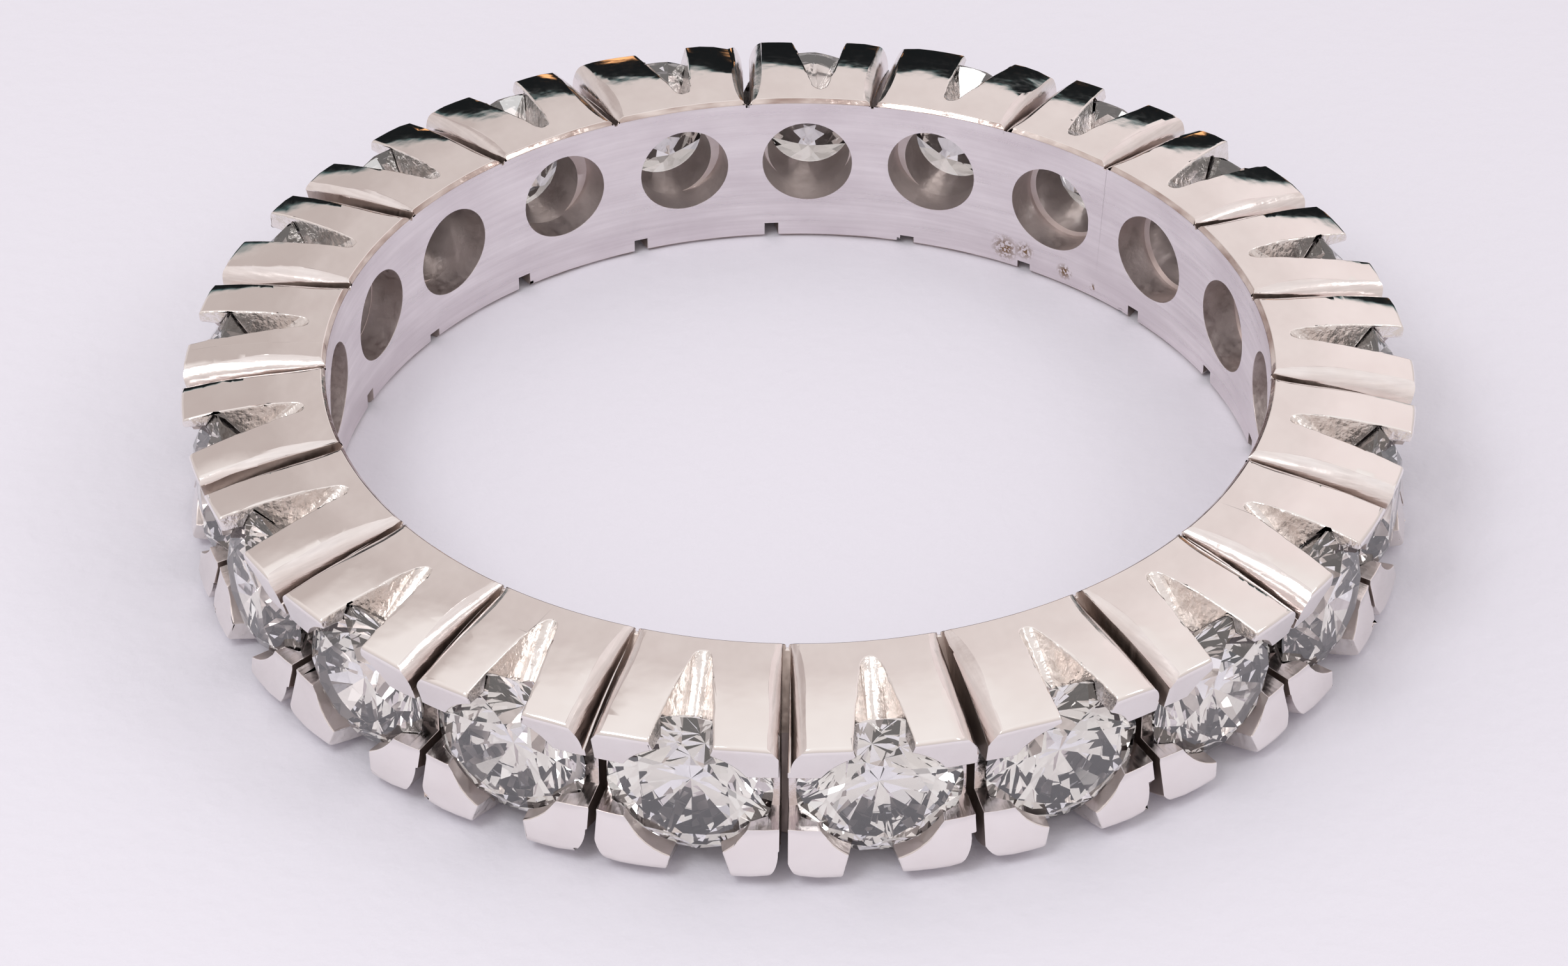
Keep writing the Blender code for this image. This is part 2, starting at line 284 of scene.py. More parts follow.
def give_metals(thing, metal):
    """All the band's finishes in one order, with every face in one of them."""
    for finish in METALS:
        thing.data.materials.append(MATERIALS[finish])
    index = METALS.index(metal)
    for face in thing.data.polygons:
        face.material_index = index


def copies(thing, places):
    """Copies of a tool at its places, joined into one object, with the pattern removed."""
    made = []
    for place in places:
        one = thing.copy()
        one.data = thing.data.copy()
        one.data.transform(place)
        bpy.context.scene.collection.objects.link(one)
        made.append(one)
    bpy.data.objects.remove(thing)
    select_only(*made)
    bpy.ops.object.join()
    return bpy.context.object


def turn(cell):
    """The turn from +Y to a cell, clockwise from above."""
    return Matrix.Rotation(-cell * PITCH, 4, 'Z')


def tilt(degrees, axis='Z'):
    """A turn by some degrees."""
    return Matrix.Rotation(math.radians(degrees), 4, axis)


def wander(shift, twist):
    """A small random slip and turn of the hand, in millimetres and degrees."""
    slip = Matrix.Translation([hand.uniform(-shift, shift) for _ in range(3)])
    return slip @ tilt(hand.uniform(-twist, twist))


def sides():
    """The upper side, and the lower one turned about the radial axis."""
    lift = Matrix.Translation((0, 0, MIDDLE))
    return Matrix.Identity(4), lift @ Matrix.Rotation(math.pi, 4, 'Y') @ lift.inverted()


def radial(cell):
    """The place of a tool on local +Z that points out through a cell's middle."""
    return turn(cell) @ Matrix.Translation((0, 0, LEVEL)) @ Matrix.Rotation(-math.pi / 2, 4, 'X')


def pillow_claws(blank):
    """Let the sides fall off towards the saw cuts and the scallops, so that each claw is a cushion."""
    for point in blank.data.vertices:
        x, y, z = point.co
        place = (math.atan2(x, y) / PITCH) % 1
        across = min(place, 1 - place) - CLAW_MIDDLE
        ease = min(1, max(0, (math.hypot(x, y) - CLAW_START) / PILLOW_RUN))
        share = 1 if across > 0 else PILLOW_TOWARDS_STONE
        fall = PILLOW_FALL * share * (across / CLAW_HALF)**2 * ease * ease * (3 - 2 * ease)
        point.co.z += -fall if z > MIDDLE else fall
        point.co.x *= 1 - fall * PILLOW_PULL / TIP
        point.co.y *= 1 - fall * PILLOW_PULL / TIP


def band_blank():
    """The cast band before it is cut: its section, rounded at each corner and turned."""
    lower = [(BORE, 0), (SHOULDER, 0), (TIP, SIDE_DROP), (TIP - CLAW_DOME, CLAW_REACH)]
    upper = [(x, WIDTH - z) for x, z in reversed(lower)]
    blank = outline("band_finish", lower + upper)
    open_for_edit(blank, 'VERT')
    round_corners(blank, lambda p: abs(p.x - BORE) < NEAR, RIM_CHAMFER, 1)
    round_corners(blank, lambda p: abs(p.x - SHOULDER) < NEAR, SHOULDER_ROUND, 9)
    round_corners(blank, lambda p: abs(p.x - TIP) < NEAR, TIP_ROUND, 5)
    spin_outline(blank, TURN_STEPS)
    close_edit()
    pillow_claws(blank)
    give_metals(blank, "side_polish")
    for face in blank.data.polygons:
        radius = math.hypot(face.center.x, face.center.y)
        if radius < BORE + NEAR:
            face.material_index = METALS.index("bore_satin")
        # The chamfer at the bore's rim takes the polished finish whose colours carry painted shade
        elif radius < BORE + RIM_CHAMFER:
            face.material_index = METALS.index("rim_polish_painted_shade")
    return blank


def azure_drill():
    """The short holes drilled from the bore, where the hand set them."""
    bottom = BORE + AZURE_DEPTH
    bpy.ops.mesh.primitive_cylinder_add(vertices=SEAT_SIDES, radius=AZURE, depth=bottom - BEFORE,
                                        location=(0, 0, (bottom + BEFORE) / 2))
    drill = added("azure_drill")
    open_for_edit(drill, 'FACE')
    pick(drill, 'FACE', lambda p: abs(p.z - bottom) < NEAR)
    bpy.ops.mesh.inset(thickness=AZURE * AZURE_STEP)
    bpy.ops.transform.translate(value=(0, 0, DRILL_TIP))
    close_edit()
    give_metals(drill, "drill_finish")
    places = []
    for k in range(STONES):
        along, up = AZURE_SLIPS.get(k, (hand.uniform(*AZURE_ALONG), hand.uniform(*AZURE_UP)))
        places.append(turn(k) @ Matrix.Translation((along, 0, up)) @ turn(k).inverted() @ radial(k))
    return copies(drill, places)


def seat_bur():
    """One seat for a stone: through hole, cone and groove for the stone, opening between the claws."""
    slope = math.tan(PAVILION_ANGLE)
    crown = math.tan(CROWN_ANGLE)
    seat = STONE + CLEARANCE
    opening = STONE - CLAW_COVER
    drilled = GIRDLE_LOW - (seat - THROUGH) * slope
    start = BORE + AZURE_DEPTH - DRILL_TIP
    bpy.ops.mesh.primitive_cylinder_add(vertices=SEAT_SIDES, radius=THROUGH, depth=drilled - start,
                                        location=(0, 0, (drilled + start) / 2))
    bur = added("seat_bur")
    stages = [(GIRDLE_LOW, seat), (GIRDLE_TOP, seat), (GIRDLE_TOP + (seat - opening) * crown, opening),
              (BEYOND, opening)]
    open_for_edit(bur, 'FACE')
    height, radius = drilled, THROUGH
    pick(bur, 'FACE', lambda p: abs(p.z - drilled) < NEAR)
    for next_height, next_radius in stages:
        bpy.ops.mesh.extrude_region_move(TRANSFORM_OT_translate={"value": (0, 0, next_height - height)})
        grow = next_radius / radius
        bpy.ops.transform.resize(value=(grow, grow, 1), center_override=(0, 0, next_height))
        height, radius = next_height, next_radius
    close_edit()
    give_metals(bur, "drill_finish")
    return copies(bur, [radial(k) @ wander(SEAT_SLIP, SEAT_TWIST) for k in range(STONES)])


def channel_tool():
    """The ring that clears the middle of the outside, between the upper and the lower claws."""
    floor = GIRDLE_LOW - CHANNEL_DEPTH
    narrow = CHANNEL_WIDTH / 2 - CHANNEL_TAPER
    wide = CHANNEL_WIDTH / 2 + CHANNEL_TAPER
    tool = outline("channel_tool", [(floor, LEVEL - narrow), (BEYOND, LEVEL - wide),
                                    (BEYOND, LEVEL + wide), (floor, LEVEL + narrow)])
    open_for_edit(tool, 'VERT')
    spin_outline(tool, TURN_STEPS)
    close_edit()
    give_metals(tool, "flare_finish")
    return tool


def scallop_file(side):
    """The round-nosed file strokes in the middle of each cell, on one side, rough on their floors."""
    length = 2 * (TIP - BORE) / math.cos(SCALLOP_SLOPE)
    nose = SCALLOP_NOSE
    mouth = nose + WIDTH * math.tan(SCALLOP_ANGLE)
    tool = outline("scallop_file", [(-nose, 0), (nose, 0), (mouth, WIDTH), (-mouth, WIDTH)])
    open_for_edit(tool, 'VERT')
    round_corners(tool, lambda p: p.z < NEAR, nose * NOSE_ROUND, 3)
    bpy.ops.mesh.select_all(action='SELECT')
    bpy.ops.mesh.extrude_region_move(TRANSFORM_OT_translate={"value": (0, length, 0)})
    bpy.ops.mesh.select_all(action='SELECT')
    bpy.ops.mesh.normals_make_consistent(inside=False)
    for cut in range(1, SCALLOP_CUTS):
        place = length * cut / SCALLOP_CUTS
        bpy.ops.mesh.select_all(action='SELECT')
        bpy.ops.mesh.bisect(plane_co=(0, place, 0), plane_no=(0, 1, 0))
    for cut in range(WALL_CUTS):
        place = WALL_STEP + WALL_STEP * cut
        bpy.ops.mesh.select_all(action='SELECT')
        bpy.ops.mesh.bisect(plane_co=(0, 0, place), plane_no=(0, 0, 1))
    close_edit()
    give_metals(tool, "file_finish")
    start = Matrix.Translation((0, BORE + SCALLOP_START, WIDTH))
    tip_down = Matrix.Rotation(-SCALLOP_SLOPE, 4, 'X')
    back = Matrix.Translation((0, -length / 4, 0))
    places = []
    for k in range(STONES):
        stroke = tilt(hand.uniform(*SCALLOP_STROKE))
        along = SCALLOP_SLIPS.get(k, hand.uniform(*SCALLOP_ALONG))
        slip = Matrix.Translation((along, hand.uniform(*SCALLOP_OUT), hand.uniform(*SCALLOP_UP)))
        roll = tilt(hand.uniform(*SCALLOP_ROLL), 'Y')
        places.append(turn(k) @ between_slots(k) @ side @ start @ slip @ stroke @ tip_down @ roll @ back)
    tool = copies(tool, places)
    grain = bpy.data.textures.new("file_chatter", 'CLOUDS')
    grain.noise_scale = SCALLOP_GRAIN
    grain.noise_depth = 2
    apply(tool, 'DISPLACE', texture=grain, texture_coords='GLOBAL', strength=SCALLOP_ROUGH,
          mid_level=0.5)
    return tool


def slab(name, corners, thickness):
    """An outline in the radius and height plane, made solid across the saw cut."""
    tool = outline(name, corners)
    open_for_edit(tool, 'FACE')
    bpy.ops.mesh.select_all(action='SELECT')
    bpy.ops.mesh.extrude_region_move(TRANSFORM_OT_translate={"value": (0, thickness, 0)})
    bpy.ops.mesh.select_all(action='SELECT')
    bpy.ops.transform.translate(value=(0, -thickness / 2, 0))
    bpy.ops.mesh.normals_make_consistent(inside=False)
    close_edit()
    tool.data.transform(Matrix.Rotation(math.pi / 2, 4, 'Z'))
    give_metals(tool, "saw_finish")
    return tool


def slot_slip(cell):
    """How far the saw cut after a cell ran off its place, and how far it was turned there."""
    pivot = Matrix.Translation((0, BORE + SLOT_WALL, 0))
    twist = pivot @ tilt(-SLOT_TWISTS.get(cell, 0)) @ pivot.inverted()
    return tilt(-SLOT_SLIPS.get(cell, 0)) @ twist


def between_slots(cell):
    """The turn that keeps a scallop midway between the saw cuts on both sides of its cell."""
    before = SLOT_SLIPS.get((cell - 1) % STONES, 0)
    after = SLOT_SLIPS.get(cell, 0)
    return tilt(-(before + after) / 2)


def slot_saw():
    """Saw cuts between the cells: down to the bore's edge above, shallow over the middle."""
    floor = BORE + SLOT_WALL
    land = SLOT_LAND / 2
    slope = (MIDDLE - RIM_NICK - land) / SLOT_WALL
    inner_height = WIDTH - RIM_NICK + (BORE - BEFORE) * slope
    corners = [(BEFORE, inner_height), (floor, MIDDLE + land), (floor, MIDDLE - land),
               (floor + SLOT_RUNOUT, BELOW), (BEYOND, BELOW), (BEYOND, SLOT_TOP), (BEFORE, SLOT_TOP)]
    tool = slab("slot_saw", corners, SLOT_WIDTH)
    places = []
    for k in range(STONES):
        lean = tilt(hand.uniform(*SLOT_LEAN))
        places.append(turn(k + 0.5) @ slot_slip(k) @ lean)
    return copies(tool, places)


def skew():
    """The turn of the lower saw cuts about the claws' radius."""
    pivot = Matrix.Translation((0, TIP, 0))
    return pivot @ Matrix.Rotation(UNDERCUT_SKEW, 4, 'Z') @ pivot.inverted()


def undercut_saw():
    """Wider cuts askew across the underside, that come out in the bore as small square notches."""
    corners = [(BEFORE, BELOW), (BEYOND, BELOW), (BEYOND, UNDERCUT_HEIGHT), (BEFORE, UNDERCUT_HEIGHT)]
    tool = slab("undercut_saw", corners, UNDERCUT_WIDTH)
    places = []
    for k in range(STONES):
        along, up = UNDERCUT_SLIPS.get(k, (hand.uniform(*UNDERCUT_ALONG), hand.uniform(*UNDERCUT_UP)))
        places.append(turn(k + 0.5) @ Matrix.Translation((along, 0, up)) @ skew())
    return copies(tool, places)


def side_fall(along):
    """How far the band's side has fallen at a distance from the bore."""
    return SIDE_DROP * (max(0, along - SIDE_FLAT) / (TIP - BORE - SIDE_FLAT))**2


def flare_file():
    """Files that round the shoulders of each saw cut, more and more towards the claws."""
    reach = TIP - BORE
    angles = [math.pi / 2 * (1 - FLARE_ARC * i / FLARE_STEPS) for i in range(FLARE_STEPS + 1)]
    shoulder = [(1 - (1 - FLARE_ROOT) * math.sin(a), math.cos(a) - 1) for a in angles] + [(2, 1)]
    tool = outline("flare_file", [(-x, z) for x, z in reversed(shoulder)] + shoulder)
    stations = []
    for along in (*FLARE_STATIONS, reach, reach + MARGIN):
        ease = math.exp(-max(0, along) / FLARE_KNEE)
        half_width = FLARE_CLAW[0] + (FLARE_RIM[0] - FLARE_CLAW[0]) * ease
        depth = FLARE_RIM[1] + (FLARE_CLAW[1] - FLARE_RIM[1]) * max(0, along) / reach
        stations.append((BORE + along, half_width, depth, WIDTH - side_fall(along)))
    place, half_width, depth, level = stations[0]
    open_for_edit(tool, 'FACE')
    bpy.ops.mesh.select_all(action='SELECT')
    bpy.ops.transform.resize(value=(half_width, 1, depth), center_override=(0, 0, 0))
    bpy.ops.transform.translate(value=(0, place, level))
    for next_place, next_half, next_depth, next_level in stations[1:]:
        bpy.ops.mesh.extrude_region_move(TRANSFORM_OT_translate={"value": (0, next_place - place, 0)})
        grow = (next_half / half_width, 1, next_depth / depth)
        bpy.ops.transform.resize(value=grow, center_override=(0, next_place, level))
        bpy.ops.transform.translate(value=(0, 0, next_level - level))
        place, half_width, depth, level = next_place, next_half, next_depth, next_level
    bpy.ops.mesh.select_all(action='SELECT')
    bpy.ops.mesh.normals_make_consistent(inside=False)
    close_edit()
    give_metals(tool, "flare_finish")
    upper, lower = sides()
    pivot = Matrix.Translation((0, BORE, WIDTH))
    places = []
    for k in range(STONES):
        for side, askew in ((upper, Matrix.Identity(4)), (lower, skew())):
            size = Matrix.Diagonal((hand.uniform(*FLARE_WIDER), 1, hand.uniform(*FLARE_DEEPER), 1))
            stroke = tilt(hand.uniform(*FLARE_STROKE))
            at_rim = pivot @ stroke @ size @ pivot.inverted()
            places.append(turn(k + 0.5) @ slot_slip(k) @ askew @ side @ at_rim)
    return copies(tool, places)


def mark_edges(band):
    """Which edges are polished round: sharp ones between two cuts, and the claws' most."""
    shoulder = {METALS.index("side_polish"), METALS.index("flare_finish")}
    channel = CHANNEL_WIDTH / 2 + CHANNEL_TAPER + NEAR
    shape = bmesh.new()
    shape.from_mesh(band.data)
    weight = shape.edges.layers.float.new("bevel_weight_edge")
    for edge in shape.edges:
        middle = (edge.verts[0].co + edge.verts[1].co) / 2
        sharp = edge.calc_face_angle(0) > SHARP
        cuts = {face.material_index for face in edge.link_faces}
        outside = abs(middle.z - MIDDLE) > channel
        if sharp and len(cuts) > 1 and not (outside and cuts == shoulder):
            claw = outside and math.hypot(middle.x, middle.y) > CLAW_START
            edge[weight] = 1 if claw else INNER_EDGES
    shape.to_mesh(band.data)
    shape.free()


def cast_band():
    """The band with all its cuts, its edges rounded, in metres."""
    band = band_blank()
    upper, lower = sides()
    tools = [azure_drill(), seat_bur(), channel_tool(), scallop_file(upper), scallop_file(lower),
             slot_saw(), undercut_saw(), flare_file()]
    for tool in tools:
        apply(band, 'BOOLEAN', object=tool, operation='DIFFERENCE', solver='MANIFOLD')
        bpy.data.objects.remove(tool)
    open_for_edit(band, 'VERT')
    bpy.ops.mesh.select_all(action='SELECT')
    bpy.ops.mesh.remove_doubles(threshold=MERGE)
    close_edit()
    mark_edges(band)
    apply(band, 'BEVEL', width=EDGE_ROUND, segments=2, limit_method='WEIGHT', use_clamp_overlap=False,
          miter_outer='MITER_ARC', loop_slide=False)
    for point in band.data.vertices:
        x, y, z = point.co
        inward = min(1, TIP / math.hypot(x, y))
        point.co = (x * inward, y * inward, min(WIDTH, max(0, z)))
    select_only(band)
    bpy.ops.object.shade_smooth_by_angle(angle=SMOOTH)
    apply(band, 'WEIGHTED_NORMAL', mode='FACE_AREA', keep_sharp=True, weight=60)
    band.data.transform(Matrix.Scale(MM, 4))
    return band


def facet(stone, angle, way, through):
    """Grind one facet: its tilt from the table, the way it faces and a point that it passes through."""
    out = Vector((math.sin(angle) * math.cos(way), math.sin(angle) * math.sin(way), math.cos(angle)))
    bpy.ops.mesh.select_all(action='SELECT')
    bpy.ops.mesh.bisect(plane_co=through, plane_no=out, use_fill=True, clear_outer=True)


def brilliant():
    """A round brilliant ground from a turned blank, culet down on local +Z."""
    depth = TABLE_TOP - CULET + BLANK_SPARE
    bpy.ops.mesh.primitive_cylinder_add(vertices=GIRDLE_SIDES, radius=STONE, depth=depth,
                                        location=(0, 0, (TABLE_TOP + CULET) / 2))
    stone = added("brilliant")
    half = math.pi / 8
    quarter = half / 2
    mid_edge = TABLE * math.cos(half)
    star = mid_edge + (STONE - mid_edge) * STAR_LENGTH
    lower = STONE * (1 - LOWER_LENGTH)
    star_rise = (STONE - star * math.cos(half)) * math.tan(CROWN_ANGLE)
    lower_fall = (STONE - lower * math.cos(half)) * math.tan(PAVILION_ANGLE)
    table_rise = TABLE_TOP - GIRDLE_TOP
    star_angle = math.atan((table_rise - star_rise) / (star - mid_edge))
    upper_angle = math.atan(star_rise / ((STONE - star) * math.cos(quarter)))
    lower_angle = math.atan(lower_fall / ((STONE - lower) * math.cos(quarter)))
    open_for_edit(stone, 'FACE')
    facet(stone, 0, 0, (0, 0, TABLE_TOP))
    for i in range(8):
        way = i * 2 * half
        out = Vector((math.cos(way), math.sin(way), 0))
        facet(stone, CROWN_ANGLE, way, out * STONE + Vector((0, 0, GIRDLE_TOP)))
        facet(stone, math.pi - PAVILION_ANGLE, way, out * STONE + Vector((0, 0, GIRDLE_LOW)))
        between = Vector((math.cos(way + half), math.sin(way + half), 0))
        facet(stone, star_angle, way + half, between * mid_edge + Vector((0, 0, TABLE_TOP)))
    for i in range(16):
        way = i * half + quarter
        out = Vector((math.cos(way), math.sin(way), 0)) * STONE * math.cos(quarter)
        facet(stone, upper_angle, way, out + Vector((0, 0, GIRDLE_TOP)))
        facet(stone, math.pi - lower_angle, way, out + Vector((0, 0, GIRDLE_LOW)))
    bpy.ops.mesh.select_all(action='SELECT')
    bpy.ops.mesh.normals_make_consistent(inside=False)
    close_edit()
    stone.data.materials.append(MATERIALS["diamond"])
    return stone


def set_stones(pattern):
    """A stone of its own in each seat, each turned its own way in its claws."""
    for k in range(STONES):
        one = bpy.data.objects.new(f"brilliant_{k + 1:02d}", pattern.data.copy())
        spin = Matrix.Rotation(hand.uniform(0, math.pi / 4), 4, 'Z')
        one.data.transform(Matrix.Scale(MM, 4) @ radial(k) @ spin)
        bpy.context.scene.collection.objects.link(one)
        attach(one, "root")
        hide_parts(f"stone_{k + 1:02d}")
    bpy.data.objects.remove(pattern)


def new_material(name):
    """An empty node material with its Principled shader."""
    made = bpy.data.materials.new(name)
    made.use_nodes = True
    return made, made.node_tree, made.node_tree.nodes["Principled BSDF"]


def polar(nodes, links):
    """A place on the ring as its way round, its distance from the axis and its height."""
    place = nodes.new("ShaderNodeTexCoord")
    split = nodes.new("ShaderNodeSeparateXYZ")
    angle = nodes.new("ShaderNodeMath")
    angle.operation = 'ARCTAN2'
    arc = nodes.new("ShaderNodeMath")
    arc.operation = 'MULTIPLY'
    arc.inputs[1].default_value = BORE * MM
    flat = nodes.new("ShaderNodeVectorMath")
    flat.operation = 'MULTIPLY'
    flat.inputs[1].default_value = (1, 1, 0)
    away = nodes.new("ShaderNodeVectorMath")
    away.operation = 'LENGTH'
    join = nodes.new("ShaderNodeCombineXYZ")
    links.new(place.outputs["Object"], split.inputs["Vector"])
    links.new(split.outputs["Y"], angle.inputs[0])
    links.new(split.outputs["X"], angle.inputs[1])
    links.new(angle.outputs["Value"], arc.inputs[0])
    links.new(place.outputs["Object"], flat.inputs[0])
    links.new(flat.outputs["Vector"], away.inputs[0])
    links.new(arc.outputs["Value"], join.inputs["X"])
    links.new(away.outputs["Value"], join.inputs["Y"])
    links.new(split.outputs["Z"], join.inputs["Z"])
    return join.outputs["Vector"]


def relief(nodes, links, way, scale, stretch, detail, deep, under=None):
    """A noise drawn out along the ring's own directions, and the bump it gives, in millimetres."""
    mapping = nodes.new("ShaderNodeMapping")
    mapping.inputs["Scale"].default_value = stretch
    noise = nodes.new("ShaderNodeTexNoise")
    noise.inputs["Scale"].default_value = scale
    noise.inputs["Detail"].default_value = detail
    bump = nodes.new("ShaderNodeBump")
    bump.inputs["Strength"].default_value = 1
    bump.inputs["Distance"].default_value = deep * MM
    links.new(way, mapping.inputs["Vector"])
    links.new(mapping.outputs["Vector"], noise.inputs["Vector"])
    links.new(noise.outputs["Fac"], bump.inputs["Height"])
    if under:
        links.new(under, bump.inputs["Normal"])
    return noise.outputs["Fac"], bump.outputs["Normal"]


def spread(nodes, links, value, low, high, start=0.3, stop=0.7):
    """A noise brought to a range."""
    reach = nodes.new("ShaderNodeMapRange")
    reach.inputs["From Min"].default_value = start
    reach.inputs["From Max"].default_value = stop
    reach.inputs["To Min"].default_value = low
    reach.inputs["To Max"].default_value = high
    links.new(value, reach.inputs["Value"])
    return reach.outputs["Result"]


def blend_colours(nodes, links, factor, first, second):
    """A mix of two colours; each is a socket or a colour."""
    mix = nodes.new("ShaderNodeMix")
    mix.data_type = 'RGBA'
    links.new(factor, mix.inputs["Factor"])
    for slot, colour in (("A", first), ("B", second)):
        socket = [one for one in mix.inputs if one.name == slot and one.type == 'RGBA'][0]
        if isinstance(colour, tuple):
            socket.default_value = (*colour, 1)
        else:
            links.new(colour, socket)
    return [one for one in mix.outputs if one.type == 'RGBA'][0]


def metal(name, colours, rough, fine, broad, streak=0, stains=()):
    """White gold with a fine finish over a broad unevenness, streaked along the fine one.

    The two colours follow the broad relief and the roughness follows the fine one. Each relief is
    its scale, its stretch, its detail and its depth in millimetres.
    """
    made, tree, shader = new_material(name)
    nodes, links = tree.nodes, tree.links
    shader.inputs["Metallic"].default_value = 1
    way = polar(nodes, links)
    soft, under = relief(nodes, links, way, *broad)
    grain, normal = relief(nodes, links, way, *fine, under)
    colour = blend_colours(nodes, links, spread(nodes, links, soft, 0, 1), *colours)
    colour = blend_colours(nodes, links, spread(nodes, links, grain, streak, 0), colour, SHADE)
    for place, size in stains:
        colour = stain(nodes, links, colour, place, size)
    links.new(colour, shader.inputs["Base Color"])
    links.new(spread(nodes, links, grain, *rough), shader.inputs["Roughness"])
    links.new(normal, shader.inputs["Normal"])
    return made


def stain(nodes, links, colour, place, size):
    """A small brown stain with a ragged edge, placed and sized in millimetres."""
    where = nodes.new("ShaderNodeTexCoord")
    crumbs = nodes.new("ShaderNodeTexNoise")
    crumbs.inputs["Scale"].default_value = STAIN_GRAIN
    crumbs.inputs["Detail"].default_value = 6
    links.new(where.outputs["Object"], crumbs.inputs["Vector"])
    apart = nodes.new("ShaderNodeVectorMath")
    apart.operation = 'DISTANCE'
    apart.inputs[1].default_value = [value * MM for value in place]
    links.new(where.outputs["Object"], apart.inputs[0])
    near = spread(nodes, links, apart.outputs["Value"], STAIN_CORE, 0, 0, size * MM)
    ragged = nodes.new("ShaderNodeMath")
    ragged.operation = 'MULTIPLY'
    links.new(near, ragged.inputs[0])
    links.new(spread(nodes, links, crumbs.outputs["Fac"], 0, 1, *STAIN_CRUMBS), ragged.inputs[1])
    return blend_colours(nodes, links, ragged.outputs["Value"], colour, STAIN)


def diamond():
    """Clear, hard and bright."""
    made, _, shader = new_material("diamond")
    shader.inputs["Base Color"].default_value = (0.985, 0.98, 0.975, 1)
    shader.inputs["Roughness"].default_value = 0.0
    shader.inputs["IOR"].default_value = 2.42
    shader.inputs["Transmission Weight"].default_value = 1
    return made


def paper():
    """The pale surface with a faint tooth."""
    made, tree, shader = new_material("pale_surface")
    nodes, links = tree.nodes, tree.links
    shader.inputs["Base Color"].default_value = (0.795, 0.79, 0.875, 1)
    shader.inputs["Roughness"].default_value = 0.9
    shader.inputs["Specular IOR Level"].default_value = 0.2
    place = nodes.new("ShaderNodeTexCoord")
    noise = nodes.new("ShaderNodeTexNoise")
    noise.inputs["Scale"].default_value = 2500
    noise.inputs["Detail"].default_value = 6
    tooth = nodes.new("ShaderNodeBump")
    tooth.inputs["Strength"].default_value = 0.6
    tooth.inputs["Distance"].default_value = 0.05 * MM
    links.new(place.outputs["Object"], noise.inputs["Vector"])
    links.new(noise.outputs["Fac"], tooth.inputs["Height"])
    links.new(tooth.outputs["Normal"], shader.inputs["Normal"])
    return made


def near_floor_and_far():
    """A pale floor; only its near disc is mirrored in the metal, so the far part reads as room."""
    radius = MIRRORED_FLOOR * MM
    bpy.ops.mesh.primitive_circle_add(vertices=128, radius=radius, fill_type='NGON')
    near = added("floor_near")
    bpy.ops.mesh.primitive_circle_add(vertices=128, radius=radius, fill_type='NOTHING')
    far = added("floor_far")
    open_for_edit(far, 'EDGE')
    bpy.ops.mesh.select_all(action='SELECT')
    bpy.ops.mesh.extrude_edges_move()
    bpy.ops.transform.resize(value=(FLOOR_GROWTH, FLOOR_GROWTH, 1), center_override=(0, 0, 0))
    close_edit()
    far.visible_glossy = False
    for floor in (near, far):
        floor.data.materials.append(MATERIALS["paper"])


def multiply(nodes, links, *values):
    """The product of some values."""
    product = values[0]
    for value in values[1:]:
        step = nodes.new("ShaderNodeMath")
        step.operation = 'MULTIPLY'
        links.new(product, step.inputs[0])
        links.new(value, step.inputs[1])
        product = step.outputs["Value"]
    return product


def shades(nodes, links, value, steps):
    """Colours by a value from 0 to 1, through steps that each have a position and a colour."""
    made = nodes.new("ShaderNodeValToRGB")
    links.new(value, made.inputs["Fac"])
    ramp = made.color_ramp.elements
    for shade, (position, colour) in ((ramp[0], steps[0]), (ramp[1], steps[-1])):
        shade.position = position
        shade.color = (*colour, 1)
    for position, colour in steps[1:-1]:
        ramp.new(position).color = (*colour, 1)
    return made.outputs["Color"]


